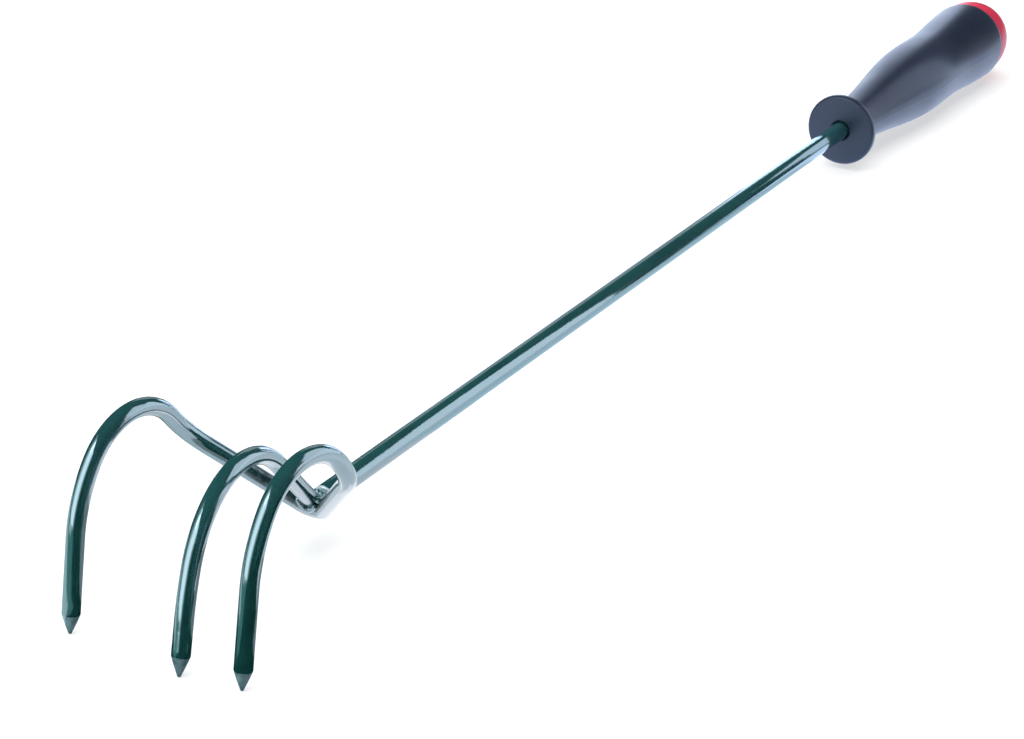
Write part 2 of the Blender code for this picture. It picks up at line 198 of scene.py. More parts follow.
# Studio: floor, cards at one distance, and reflectors near the tool
WHITE = (1.0, 1.0, 1.0)
SOFT_WHITE = (0.88, 0.98, 1.0)
PALE_BLUE = (0.92, 0.95, 1.0)
PINKISH = (1.0, 0.93, 0.96)
AMBIENT_COLOUR = (0.70, 0.78, 1.0)
AMBIENT_STRENGTH = 0.06
FLOOR_SIZE = 30.0
FLOOR_LIFT = 0.6
FLOOR_FADE_START = 0.9
FLOOR_FADE_END = 3.0
TINES_MIDDLE = Vector((0.0, -0.27, 0.03))
TOOL_MIDDLE = Vector((0.0, 0.0, 0.02))
CARD_DISTANCE = 2.6
KEY_FADE = (
    (0.0, 0.0),
    (0.15, 0.15),
    (0.26, 0.3),
    (0.37, 0.75),
    (0.46, 1.0),
    (0.65, 1.0),
    (0.74, 0.4),
    (0.84, 0.06),
    (1.0, 0.0),
)
FLAG_REACH = 5.0
FLAG_HEIGHT = 0.2 * MM
SIDE_HEIGHT = 0.3 * MM
GLOW_HEIGHT = 0.4 * MM
TOP_HEIGHT = 0.9 * MM
FILL_PLACE = (-0.3, -0.2, 2.4)
FILL_SIZE = 3.2
FILL_POWER = 110.0

# Camera, fitted to the photograph
CAMERA_PLACE = Vector((0.42930, -0.83828, 0.40235))
CAMERA_RIGHT = Vector((0.858490, 0.512824, 0.002626))
CAMERA_UP = Vector((-0.229139, 0.378998, 0.896580))
CAMERA_LENS = 95.99
CAMERA_SHIFT = (0.01101, 0.07241)
SENSOR_WIDTH = 36.0
CLIP_START = 0.01


# Paths of the rods


def direction(rise, turn):
    """Unit vector that points forward (-Y), climbs by rise and is turned towards +X by turn."""
    forward = math.cos(rise)
    return Vector((math.sin(turn) * forward, -math.cos(turn) * forward, math.sin(rise)))


class RodPath:
    """Centre line of a bent rod, laid down as straight runs and round bends."""

    def __init__(self, start, heading):
        self.points = [start.copy()]
        self.heading = heading.normalized()

    def run(self, length, steps=1):
        start = self.points[-1]
        for i in range(1, steps + 1):
            self.points.append(start + self.heading * length * i / steps)

    def bend(self, heading, radius):
        heading = heading.normalized()
        inward = (heading - self.heading * heading.dot(self.heading)).normalized()
        angle = self.heading.angle(heading)
        start = self.points[-1]
        steps = math.ceil(angle / BEND_STEP)
        for i in range(1, steps + 1):
            turned = angle * i / steps
            along = self.heading * math.sin(turned)
            across = inward * (1.0 - math.cos(turned))
            self.points.append(start + (along + across) * radius)
        self.heading = heading

    def run_down_to(self, z):
        self.run((z - self.points[-1].z) / self.heading.z)


def fork_half():
    path = RodPath(Vector((0.0, 0.0, FORK_BEND_Z)), Vector((1.0, 0.0, 0.0)))
    path.bend(direction(LEG_RISE, LEG_TURN), FORK_BEND_RADIUS)
    path.run(LEG_LENGTH, LEG_STEPS)
    path.bend(direction(HOOK_RISE, HOOK_TURN), SHOULDER_RADIUS)
    path.bend(direction(-CREST_END_FALL, HOOK_TURN), CREST_RADIUS)
    path.bend(direction(-TINE_FALL, HOOK_TURN), DROP_RADIUS)
    path.run_down_to(-POINT_DEPTH)
    return path.points


def centre_line():
    path = RodPath(CENTRE_ROOT, direction(CENTRE_RISE, CENTRE_TURN))
    path.run(CENTRE_LEG_LENGTH, LEG_STEPS)
    path.bend(direction(-CENTRE_CREST_END_FALL, CENTRE_TURN), CENTRE_CREST_RADIUS)
    path.bend(direction(-CENTRE_TINE_FALL, CENTRE_TURN), CENTRE_DROP_RADIUS)
    path.run_down_to(-POINT_DEPTH)
    return path.points


def mirrored(points):
    """The same line on the other side, run backwards and without its first point."""
    return [Vector((-p.x, p.y, p.z)) for p in reversed(points[1:])]


def with_point(points):
    """Replaces the last run by the straight rod and the ground point, and gives each point's radius."""
    start, tip = points[-2], points[-1]
    back = (start - tip).normalized()
    straight = (start - tip).length - POINT_LENGTH
    line = list(points[:-1])
    radii = [TINE_RADIUS] * len(line)
    for i in range(1, STRAIGHT_STEPS + 1):
        line.append(start - back * straight * i / STRAIGHT_STEPS)
        radii.append(TINE_RADIUS)
    cone = POINT_LENGTH - POINT_NOSE_LENGTH
    for i in range(1, CONE_STEPS + 1):
        t = i / CONE_STEPS
        line.append(tip + back * (POINT_LENGTH - cone * t))
        swell = POINT_SWELL * math.sin(math.pi * t)
        radii.append(TINE_RADIUS * (1.0 + (POINT_NOSE_FRACTION - 1.0) * t + swell))
    for i in range(1, POINT_NOSE_STEPS + 1):
        t = i / POINT_NOSE_STEPS
        line.append(tip + back * POINT_NOSE_LENGTH * (1.0 - t))
        rounding = (POINT_NOSE_FRACTION - POINT_END_FRACTION) * math.sqrt(1.0 - t * t)
        radii.append(TINE_RADIUS * (POINT_END_FRACTION + rounding))
    return line, radii


# Mesh building


def place(mesh):
    """Moves a mesh from the tool's own axes to the row frame."""
    mesh.transform(Matrix.Translation(TOOL_SHIFT) @ Matrix.Rotation(TOOL_PITCH, 4, "X"))


def make_piece(name, mesh, material, nodes):
    place(mesh)
    mesh.materials.append(material)
    mesh.shade_smooth()
    mesh.set_sharp_from_angle(angle=SMOOTH_ANGLE)
    piece = bpy.data.objects.new(name, mesh)
    bpy.context.scene.collection.objects.link(piece)
    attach(piece, "root")
    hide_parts(*nodes)
    return piece


def ring_frames(points):
    """Two unit vectors across the line at each point, carried along it without twist."""
    frames = []
    across = None
    for i, point in enumerate(points):
        before = points[max(i - 1, 0)]
        after = points[min(i + 1, len(points) - 1)]
        heading = (after - before).normalized()
        if across is None:
            across = heading.orthogonal().normalized()
        across = (across - heading * across.dot(heading)).normalized()
        frames.append((heading, across, heading.cross(across)))
    return frames


def skin(rings, lengths, tips=(True, True)):
    """Closed skin over rings of points, with UVs that run round (U) and along (V, in metres)."""
    shape = bmesh.new()
    uv = shape.loops.layers.uv.new("rod")
    sides = len(rings[0])
    rows = [[shape.verts.new(p) for p in ring] for ring in rings]
    for k in range(len(rows) - 1):
        for i in range(sides):
            j = (i + 1) % sides
            face = shape.faces.new((rows[k][i], rows[k][j], rows[k + 1][j], rows[k + 1][i]))
            turns = (i / sides, (i + 1) / sides, (i + 1) / sides, i / sides)
            runs = (lengths[k], lengths[k], lengths[k + 1], lengths[k + 1])
            for loop, turn, run in zip(face.loops, turns, runs):
                loop[uv].uv = (turn, run)
    if tips[0]:
        shape.faces.new(list(reversed(rows[0])))
    if tips[1]:
        shape.faces.new(rows[-1])
    bmesh.ops.recalc_face_normals(shape, faces=shape.faces)
    mesh = bpy.data.meshes.new("skin")
    shape.to_mesh(mesh)
    shape.free()
    return mesh


def running_lengths(points):
    lengths = [0.0]
    for a, b in zip(points, points[1:]):
        lengths.append(lengths[-1] + (b - a).length)
    return lengths


def rod(points, radii, pointed=False):
    """Round rod; point values mark its ground points, or the rounded edge of a sawn end, which gets a
    painted highlight.
    """
    rings = []
    for point, radius, (_, across, up) in zip(points, radii, ring_frames(points)):
        ring = []
        for i in range(ROD_SIDES):
            angle = 2.0 * math.pi * i / ROD_SIDES
            ring.append(point + (across * math.cos(angle) + up * math.sin(angle)) * radius)
        rings.append(ring)
    mesh = skin(rings, running_lengths(points))
    full = max(radii) * FULL_RADIUS_SHARE
    values = []
    for radius in radii:
        values += [1.0 if radius < full else 0.0] * ROD_SIDES
    mark = mesh.attributes.new("ground" if pointed else "rim_highlight", "FLOAT", "POINT")
    mark.data.foreach_set("value", values)
    return mesh


def arc(centre, radius, start_degrees, end_degrees, steps):
    """Points of a round in an outline's (radius, y) plane; 0 degrees points outwards, 90 towards +Y."""
    points = []
    for i in range(steps + 1):
        angle = math.radians(start_degrees + (end_degrees - start_degrees) * i / steps)
        points.append((centre[0] + radius * math.cos(angle), centre[1] + radius * math.sin(angle)))
    return points


def ease(a, b, steps):
    points = []
    for i in range(1, steps + 1):
        t = i / steps
        blend = t * t * (3.0 - 2.0 * t)
        points.append((a[0] + (b[0] - a[0]) * blend, a[1] + (b[1] - a[1]) * t))
    return points


def turned(outline, seam_height):
    """Skin turned about Y from a closed outline of (radius, y), with a raised parting seam on two sides."""
    shape = bmesh.new()
    rings = []
    for radius, y in outline:
        if radius == 0.0:
            rings.append([shape.verts.new((0.0, GRIP_FACE_Y + y, 0.0))])
            continue
        ring = []
        for i in range(GRIP_SEGMENTS):
            angle = 2.0 * math.pi * i / GRIP_SEGMENTS
            r = radius
            if radius > SEAM_LEAST_RADIUS:
                off = abs((angle + math.pi / 2) % math.pi - math.pi / 2)
                r += seam_height * max(0.0, 1.0 - off / SEAM_WIDTH)
            ring.append(shape.verts.new((r * math.cos(angle), GRIP_FACE_Y + y, r * math.sin(angle))))
        rings.append(ring)
    for first, second in zip(rings, rings[1:] + rings[:1]):
        if len(first) == 1 and len(second) == 1:
            continue
        for i in range(GRIP_SEGMENTS):
            j = (i + 1) % GRIP_SEGMENTS
            corners = [first[i % len(first)], first[j % len(first)]]
            corners += [second[j % len(second)], second[i % len(second)]]
            shape.faces.new(list(dict.fromkeys(corners)))
    bmesh.ops.recalc_face_normals(shape, faces=shape.faces)
    mesh = bpy.data.meshes.new("turned")
    shape.to_mesh(mesh)
    shape.free()
    return mesh


def rounded_in(wide_radius, wide_y, rim_radius, rim_y, steps):
    """Outline from the widest point of a bulb, where it runs along the axis, in to its rim."""
    points = []
    for i in range(1, steps + 1):
        t = i / steps
        points.append((wide_radius - (wide_radius - rim_radius) * t * t, wide_y + (rim_y - wide_y) * t))
    return points


def grip_outline():
    rim = (FLANGE_RADIUS - FLANGE_ROUNDING, FLANGE_ROUNDING)
    back_rim = (FLANGE_RADIUS - FLANGE_ROUNDING, FLANGE_THICKNESS - FLANGE_ROUNDING)
    fillet = (NECK_RADIUS + FLANGE_BACK_FILLET, FLANGE_THICKNESS + FLANGE_BACK_FILLET)
    mouth = (BORE_RADIUS + BORE_MOUTH_CHAMFER, BORE_MOUTH_CHAMFER)
    bulb_rim = (RIM_RADIUS - RIM_ROUNDING, RIM_Y - RIM_ROUNDING)
    outline = arc(mouth, BORE_MOUTH_CHAMFER, 180.0, 270.0, MOUTH_STEPS)
    outline += arc(rim, FLANGE_ROUNDING, -90.0, 0.0, FLANGE_STEPS)
    outline += arc(back_rim, FLANGE_ROUNDING, 0.0, 90.0, FLANGE_STEPS)
    outline += arc(fillet, FLANGE_BACK_FILLET, 270.0, 180.0, FILLET_STEPS)
    outline += [(NECK_RADIUS, NECK_Y)]
    outline += ease((NECK_RADIUS, NECK_Y), (BELLY_RADIUS, BELLY_Y), BELLY_STEPS)
    outline += ease((BELLY_RADIUS, BELLY_Y), (WAIST_RADIUS, WAIST_Y), WAIST_STEPS)
    outline += ease((WAIST_RADIUS, WAIST_Y), (BULB_RADIUS, BULB_Y), BULB_STEPS)
    outline += rounded_in(BULB_RADIUS, BULB_Y, RIM_RADIUS, RIM_Y - RIM_ROUNDING, BULB_END_STEPS)
    outline += arc(bulb_rim, RIM_ROUNDING, RIM_START_DEGREES, 90.0, RIM_STEPS)
    outline += [
        (SOCKET_RADIUS, RIM_Y),
        (SOCKET_RADIUS, RIM_Y - SOCKET_DEPTH),
        (BORE_RADIUS, RIM_Y - SOCKET_DEPTH),
    ]
    return outline


def dome(base_radius, base_y, height, steps):
    points = []
    for i in range(steps):
        angle = math.pi / 2 * i / steps
        radius = base_radius * math.cos(angle) ** (2.0 / CAP_DOME_POWER)
        points.append((radius, base_y + height * math.sin(angle) ** (2.0 / CAP_DOME_POWER)))
    return points + [(0.0, base_y + height)]


def cap_outline():
    rim_y = RIM_Y + SEAT_GAP
    spigot_radius = SOCKET_RADIUS - SEAT_GAP
    hollow_radius = spigot_radius - CAP_WALL
    mouth_y = rim_y - SPIGOT_LENGTH
    edge = RIM_ROUNDING / 3
    outline = [(RIM_RADIUS - RIM_ROUNDING, rim_y), (RIM_RADIUS - edge, rim_y + edge)]
    outline += dome(RIM_RADIUS, rim_y, CAP_LENGTH, DOME_STEPS)[1:]
    outline += reversed(dome(hollow_radius, rim_y, CAP_LENGTH - CAP_WALL, HOLLOW_STEPS))
    outline += [
        (hollow_radius, mouth_y),
        (spigot_radius - SPIGOT_LEAD_IN, mouth_y),
        (spigot_radius, mouth_y + SPIGOT_LEAD_IN),
        (spigot_radius, rim_y),
    ]
    return outline


# Weld beads


def distance_to(path, point):
    nearest = math.inf
    for start, end in zip(path, path[1:]):
        run = end - start
        along = min(max((point - start).dot(run) / run.length_squared, 0.0), 1.0)
        nearest = min(nearest, (point - start - run * along).length)
    return nearest


def joint_line(base, axis, radius, others, angles):
    """Middle line of a bead in the corner where a straight rod runs into other rods."""
    right = axis.cross(Vector((0.0, 0.0, 1.0))).normalized()
    if right.x < 0.0:
        right.negate()
    upper = right.cross(axis).normalized()
    if upper.z < 0.0:
        upper.negate()
    line = []
    for i in range(BEAD_ANGLES + 1):
        angle = angles[0] + (angles[1] - angles[0]) * i / BEAD_ANGLES
        side = (right * math.cos(angle) + upper * math.sin(angle)) * (radius + BEAD_STANDOFF)
        for step in range(JOINT_STEPS):
            point = base + side + axis * (JOINT_REACH - JOINT_STEP * step)
            if min(distance_to(path, point) - width for path, width in others) < BEAD_STANDOFF:
                line.append(point)
                break
    for _ in range(SMOOTHING_PASSES):
        between = [(a + b * 2.0 + c) / 4.0 for a, b, c in zip(line, line[1:], line[2:])]
        line = [line[0]] + between + [line[-1]]
    return line


def spaced(line, step):
    lengths = [(b - a).length for a, b in zip(line, line[1:])]
    count = round(sum(lengths) / step)
    points = []
    for i in range(count + 1):
        left = sum(lengths) * i / count
        for (start, end), length in zip(zip(line, line[1:]), lengths):
            if left <= length:
                break
            left -= length
        points.append(start.lerp(end, min(left / length, 1.0)))
    return points


def bead(line, radius):
    """Weld bead whose ripples bow backwards like a row of fallen coins, with an uneven outline."""
    points = spaced(line, BEAD_STEP)
    lengths = running_lengths(points)
    total = lengths[-1]
    rings = []
    crests = []
    for point, travelled, (_, across, up) in zip(points, lengths, ring_frames(points)):
        from_end = min(travelled, total - travelled, radius) / radius
        taper = max(math.sqrt(1.0 - (1.0 - from_end) ** 2), BEAD_END_FRACTION)
        ring = []
        for i in range(BEAD_SIDES):
            angle = 2.0 * math.pi * i / BEAD_SIDES
            out = across * math.cos(angle) + up * math.sin(angle)
            bow = RIPPLE_BOW * math.sin(angle) ** 2
            wobble = noise.noise((point + out * radius) / LUMP_SIZE)
            phase = (travelled + bow) / RIPPLE_PITCH + LUMP_SHIFT * wobble
            crest = abs(math.sin(math.pi * phase))
            crests.append(crest)
            swell = 1.0 + RIPPLE_DEPTH * (crest - RIPPLE_MEAN) + LUMP_DEPTH * wobble
            ring.append(point + out * radius * taper * swell)
        rings.append(ring)
    mesh = skin(rings, lengths)
    mesh.attributes.new("crest", "FLOAT", "POINT").data.foreach_set("value", crests)
    return mesh


# Materials


class Tree:
    """Short way to build a material's nodes."""

    def __init__(self, name):
        self.material = bpy.data.materials.new(name)
        self.material.use_nodes = True
        self.nodes = self.material.node_tree.nodes
        self.links = self.material.node_tree.links
        self.shader = self.nodes["Principled BSDF"]

    def plug(self, socket, value):
        """Links a socket to another node's output, or sets its own plain value."""
        if isinstance(value, bpy.types.NodeSocket):
            self.links.new(value, socket)
        elif socket.type == "RGBA":
            socket.default_value = rgba(value)
        else:
            socket.default_value = value

    def add(self, kind, settings=None, **inputs):
        node = self.nodes.new(kind)
        for key, value in (settings or {}).items():
            setattr(node, key, value)
        for key, value in inputs.items():
            self.plug(node.inputs[key.replace("_", " ")], value)
        return node

    def set(self, **inputs):
        for key, value in inputs.items():
            self.plug(self.shader.inputs[key.replace("_", " ")], value)

    def spot(self):
        return self.add("ShaderNodeTexCoord").outputs["Object"]

    def attribute(self, name):
        return self.add("ShaderNodeAttribute", {"attribute_name": name}).outputs["Fac"]

    def noise(self, vector, scale, detail=2.0, roughness=0.5):
        node = self.add("ShaderNodeTexNoise", Scale=scale, Detail=detail, Roughness=roughness, Vector=vector)
        return node.outputs["Fac"]

    def ramp(self, value, *stops):
        """Grey or colour along a value, from stops that each hold a place and a grey or colour."""
        node = self.add("ShaderNodeValToRGB", Fac=value)
        elements = node.color_ramp.elements
        while len(elements) < len(stops):
            elements.new(0.5)
        for element, (place_at, colour) in zip(elements, stops):
            element.position = place_at
            element.color = rgba(colour)
        return node.outputs["Color"]

    def mix(self, factor, a, b):
        node = self.add("ShaderNodeMix", {"data_type": "RGBA"})
        for i, value in ((0, factor), (6, a), (7, b)):
            self.plug(node.inputs[i], value)
        return node.outputs[2]

    def math(self, operation, a, b=0.0):
        node = self.add("ShaderNodeMath", {"operation": operation})
        self.plug(node.inputs[0], a)
        self.plug(node.inputs[1], b)
        return node.outputs[0]

    def distance(self, vector, place_at):
        node = self.add("ShaderNodeVectorMath", {"operation": "DISTANCE"}, Vector=vector)
        node.inputs[1].default_value = place_at
        return node.outputs["Value"]

    def fade(self, distance, near, far):
        """1 up to the near distance, and from there down to 0 at the far one."""
        return self.ramp(self.math("DIVIDE", distance, far), (near / far, 1.0), (1.0, 0.0))

    def bump(self, height, strength, distance, below=None):
        node = self.add("ShaderNodeBump", Height=height, Strength=strength, Distance=distance)
        if below is not None:
            self.plug(node.inputs["Normal"], below)
        return node.outputs["Normal"]


def rgba(colour):
    """Opaque colour from its red, green and blue, or from one grey."""
    return (*colour, 1.0) if isinstance(colour, tuple) else (colour, colour, colour, 1.0)


def shaded_inner_sides(t, spot):
    """1 on the sides that face inwards near the V, which get painted shade."""
    place_x = t.add("ShaderNodeSeparateXYZ", Vector=spot).outputs["X"]
    normal = t.add("ShaderNodeTexCoord").outputs["Normal"]
    facing = t.add("ShaderNodeSeparateXYZ", Vector=normal).outputs["X"]
    outward = t.math("MULTIPLY", t.math("SIGN", place_x), facing)
    inward = t.ramp(t.math("MULTIPLY", outward, -1.0), (0.42, 0.0), (0.58, 1.0))
    reach = t.fade(t.distance(spot, TOOL_SHIFT), *INNER_SHADE_REACH)
    patchy = t.ramp(t.noise(spot, 700.0, 3.0), (0.35, 0.65), (0.5, 1.0))
    return t.math("MULTIPLY", t.math("MULTIPLY", inward, reach), patchy)


def enamel(name, crest_highlight=0.0, inner_shaded=True):
    """Dark blue-green gloss enamel, torn on ground points, with a painted highlight on sawn ends and gritty
    with painted shade beside the joint.

    The second argument is how pale the crests of a weld's ripples are painted, as a painted highlight. The
    third says whether the piece is near enough to the welds to get painted shade on its inner sides near the
    V.
    """
    t = Tree(name)
    spot = t.spot()
    along = t.add("ShaderNodeUVMap", {"uv_map": "rod"}).outputs["UV"]
    drawn = t.add("ShaderNodeMapping", Vector=along, Scale=(26.0, 60.0, 1.0)).outputs["Vector"]
    grit = t.noise(spot, 1500.0, 4.0, 0.6)

    base = t.ramp(t.noise(spot, 70.0, 3.0), (0.3, ENAMEL_DEEP), (0.7, ENAMEL_PALE))
    base = t.mix(t.ramp(t.noise(spot, 1400.0, 1.0), (0.66, 0.0), (0.74, 0.35)), base, ENAMEL_SPECK)
    torn = t.ramp(t.noise(spot, 480.0, 3.0), (0.35, 0.45), (0.62, 1.0))
    thin = t.math("MULTIPLY", t.attribute("ground"), torn)
    base = t.mix(thin, base, ENAMEL_THIN)
    # Painted highlight: the rounded edge of the shaft's sawn nose is painted pale in patches
    rim_highlight_patches = t.ramp(t.noise(spot, 300.0, 3.0), (0.3, 0.4), (0.5, 1.0))
    base = t.mix(t.math("MULTIPLY", t.attribute("rim_highlight"), rim_highlight_patches), base, RIM_HIGHLIGHT_PALE)
    rough = t.ramp(t.noise(drawn, 3.0, 2.0), (0.3, 0.07), (0.75, 0.15))
    rough = t.mix(thin, rough, 0.5)
    wave = t.bump(t.noise(spot, 55.0, 1.0), 0.25, 0.4 * MM)
    dents = t.bump(t.noise(spot, 260.0, 2.0), 0.35, 0.12 * MM, wave)
    peel = t.bump(t.noise(spot, 750.0, 2.0), 0.3, 0.035 * MM, dents)

    gritty = t.fade(t.distance(spot, TOOL_SHIFT + GRIT_AND_SHADE_PLACE), *GRIT_AND_SHADE_REACH)
    # Painted shade: beside the joint the pits of the grit are darkened
    painted_shade = t.math("MULTIPLY", gritty, t.ramp(grit, (0.4, 0.25), (0.6, 0.0)))
    # Painted shade: on the inward sides near the V the paint is darkened, rougher and loses most of its
    # shine
    if inner_shaded:
        inner_shade = shaded_inner_sides(t, spot)
        gritty = t.math("MAXIMUM", gritty, inner_shade)
        painted_shade = t.math("MAXIMUM", painted_shade, inner_shade)
        rough = t.mix(inner_shade, rough, 0.3)
        t.set(Specular_IOR_Level=t.ramp(inner_shade, (0.0, 0.5), (1.0, 0.06)))
    # Both marks of painted shade darken the base colour here
    base = t.mix(painted_shade, base, PAINTED_SHADE_COLOUR)
    # Painted highlight: the crests of a weld's ripples are painted pale in patches
    if crest_highlight:
        patchy = t.ramp(t.noise(spot, 420.0, 3.0), (0.4, 0.15), (0.6, 1.0))
        crest = t.ramp(t.attribute("crest"), (0.6, 0.0), (0.95, crest_highlight))
        base = t.mix(t.math("MULTIPLY", crest, patchy), base, WELD_CREST_HIGHLIGHT)
        rough = t.ramp(grit, (0.35, 0.13), (0.65, 0.28))
    t.set(Base_Color=base, Roughness=rough, Normal=t.bump(grit, gritty, 0.09 * MM, peel))
    t.set(IOR=3.5, Specular_Tint=ENAMEL_TINT, Coat_Weight=0.4, Coat_Roughness=0.04, Coat_IOR=1.6)
    return t.material


def grip_plastic():
    """Satin black-blue plastic with a fine moulded grain and faint rubbed patches."""
    t = Tree("black_plastic_satin")
    spot = t.spot()
    patches = t.noise(spot, 38.0, 4.0, 0.55)
    base = t.ramp(patches, (0.3, GRIP_DEEP), (0.7, GRIP_RUBBED))
    rough = t.ramp(patches, (0.3, 0.36), (0.7, 0.46))
    t.set(Base_Color=base, Roughness=rough, Normal=t.bump(t.noise(spot, 2600.0), 0.35, 0.03 * MM))
    t.set(IOR=1.65, Specular_Tint=GRIP_TINT, Sheen_Weight=0.2, Sheen_Roughness=0.35, Sheen_Tint=GRIP_SHEEN)
    return t.material


def cap_plastic():
    """Smooth red plastic, a little uneven in tone."""
    t = Tree("red_plastic_smooth")
    spot = t.spot()
    patches = t.noise(spot, 60.0, 3.0)
    base = t.ramp(patches, (0.3, CAP_DEEP), (0.7, CAP_PALE))
    rough = t.ramp(patches, (0.3, 0.36), (0.7, 0.46))
    t.set(Base_Color=base, Roughness=rough, Normal=t.bump(t.noise(spot, 1800.0), 0.2, 0.02 * MM))
    t.set(IOR=1.4)
    return t.material


# The pieces

paint = enamel("green_enamel")
shaft_paint = enamel("green_enamel_on_shaft", inner_shaded=False)
weld_paint = enamel("green_enamel_on_weld", 0.9)
root_paint = enamel("green_enamel_on_root", 0.15)
black = grip_plastic()
red = cap_plastic()

right_line, right_radii = with_point(fork_half())
fork_radii = [radius - BOX_SLACK for radius in list(reversed(right_radii[1:])) + right_radii]
fork_mesh = rod(mirrored(right_line) + right_line, fork_radii, True)
make_piece("outer_tines_enamelled", fork_mesh, paint, ["outer_tines"])

centre_points, centre_radii = with_point(centre_line())
centre_mesh = rod(centre_points, centre_radii, True)
make_piece("centre_tine_enamelled", centre_mesh, paint, ["centre_tine"])

shaft_stations = []
shaft_radii = []
for i in range(SHAFT_NOSE_STEPS + 1):
    angle = math.pi / 2 * i / SHAFT_NOSE_STEPS
    shaft_stations.append(SHAFT_NOSE_Y + SHAFT_NOSE_ROUNDING * (1.0 - math.cos(angle)))
    shaft_radii.append(SHAFT_RADIUS - SHAFT_NOSE_ROUNDING * (1.0 - math.sin(angle)))
straight_start = shaft_stations[-1]
straight_length = GRIP_FACE_Y + SHAFT_IN_GRIP - straight_start
shaft_stations += [straight_start + straight_length * i / SHAFT_STEPS for i in range(1, SHAFT_STEPS + 1)]
shaft_radii += [SHAFT_RADIUS] * SHAFT_STEPS
shaft_mesh = rod([Vector((0.0, y, 0.0)) for y in shaft_stations], shaft_radii)
make_piece("shaft_enamelled", shaft_mesh, shaft_paint, ["shaft"])

# The crown bead meets the shaft's nose face, which a level bar of the shaft's thickness stands for
bar_y = SHAFT_NOSE_Y + SHAFT_RADIUS
bar_end = 2.0 * SHAFT_RADIUS
bar = [Vector((-bar_end, bar_y, CROWN_LEVEL)), Vector((bar_end, bar_y, CROWN_LEVEL))]
backwards = Vector((0.0, 1.0, 0.0))
tine_axis = direction(CENTRE_RISE, CENTRE_TURN)
fork_line = mirrored(fork_half()) + fork_half()
vee = (fork_line, TINE_RADIUS)
filled_vee = (fork_line, TINE_RADIUS + COLLAR_FILL)
collar = joint_line(Vector(), backwards, SHAFT_RADIUS, [filled_vee], COLLAR_ANGLES)
crown = joint_line(CENTRE_ROOT, tine_axis, TINE_RADIUS, [vee, (bar, SHAFT_RADIUS)], CROWN_ANGLES)
tine_root = joint_line(CENTRE_ROOT, tine_axis, TINE_RADIUS, [vee], ROOT_ANGLES)
make_piece("weld_collar_rippled", bead(collar, COLLAR_BEAD), weld_paint, ["weld_collar"])
make_piece("weld_crown_rippled", bead(crown, CROWN_BEAD), weld_paint, ["weld_crown"])
make_piece("weld_root_rippled", bead(tine_root, ROOT_BEAD), root_paint, ["weld_root"])

make_piece("grip_moulded", turned(grip_outline(), SEAM_HEIGHT), black, ["grip"])
make_piece("end_cap_moulded", turned(cap_outline(), 0.0), red, ["end_cap"])


# Floor, cards and lamps


def rectangle(left, right, front, back):
    return ((left, front), (right, front), (right, back), (left, back))


def lying(corners, height):
    return [(x, y, height) for x, y in corners]


def standing(left, right, y, bottom, top):
    return [(left, y, bottom), (right, y, bottom), (right, y, top), (left, y, top)]


def plane(name, corners, material):
    mesh = bpy.data.meshes.new(name)
    mesh.from_pydata(corners, [], [(0, 1, 2, 3)])
    uv = mesh.uv_layers.new(name="card")
    for loop, place_at in zip(uv.data, ((0.0, 0.0), (1.0, 0.0), (1.0, 1.0), (0.0, 1.0))):
        loop.uv = place_at
    mesh.materials.append(material)
    obj = bpy.data.objects.new(name, mesh)
    bpy.context.scene.collection.objects.link(obj)
    return obj


def seen_rays(tree):
    """1 for camera, glossy and transmission rays, 0 for the rays that light the object."""
    path = tree.nodes.new("ShaderNodeLightPath")
    total = path.outputs["Is Camera Ray"]
    for name in ("Is Glossy Ray", "Is Transmission Ray"):
        both = tree.nodes.new("ShaderNodeMath")
        both.operation = "MAXIMUM"
        tree.links.new(total, both.inputs[0])
        tree.links.new(path.outputs[name], both.inputs[1])
        total = both.outputs[0]
    return total


def floor_material():
    """Pale matt floor, seen a little lifted: it reads as white, keeps its shadows and has no horizon."""
    t = Tree("floor_pale")
    spot = t.spot()
    cloud = t.noise(spot, 6.0)
    seen = seen_rays(t.material.node_tree)
    tone = t.mix(seen, t.ramp(cloud, (0.3, 0.86), (0.7, 0.88)), t.ramp(cloud, (0.3, 0.46), (0.7, 0.48)))
    outwards = t.math("DIVIDE", t.distance(spot, Vector()), FLOOR_FADE_END)
    lift = t.ramp(outwards, (FLOOR_FADE_START / FLOOR_FADE_END, FLOOR_LIFT), (1.0, 1.0))
    t.set(Base_Color=tone, Roughness=1.0, Specular_IOR_Level=0.0)
    t.set(Emission_Color=WHITE, Emission_Strength=t.math("MULTIPLY", seen, lift))
    return t.material


def card_material(name, strength, colour, fade=()):
    """Plain light of a card; fade gives its share of strength at places from its left to its right side."""
    t = Tree(name)
    t.nodes.remove(t.shader)
    light = t.add("ShaderNodeEmission", Color=colour, Strength=strength)
    if fade:
        place_at = t.add("ShaderNodeUVMap", {"uv_map": "card"}).outputs["UV"]
        across = t.add("ShaderNodeSeparateXYZ", Vector=place_at).outputs["X"]
        t.plug(light.inputs["Strength"], t.math("MULTIPLY", t.ramp(across, *fade), strength))
    t.plug(t.nodes["Material Output"].inputs["Surface"], light.outputs["Emission"])
    return t.material


def card(name, centre, azimuth, elevation, width, height, material):
    """Card that faces centre from an azimuth (0 is -Y, 90 is +X) and elevation, and that no camera sees."""
    a, e = math.radians(azimuth), math.radians(elevation)
    out = Vector((math.sin(a) * math.cos(e), -math.cos(a) * math.cos(e), math.sin(e)))
    side = Vector((math.cos(a), math.sin(a), 0.0))
    up = out.cross(side)
    middle = centre + out * CARD_DISTANCE
    corners = []
    for x, y in ((-0.5, -0.5), (0.5, -0.5), (0.5, 0.5), (-0.5, 0.5)):
        corners.append(middle + side * x * width + up * y * height)
    obj = plane(name, corners, material)
    obj.visible_camera = False
    obj.visible_shadow = False
    return obj


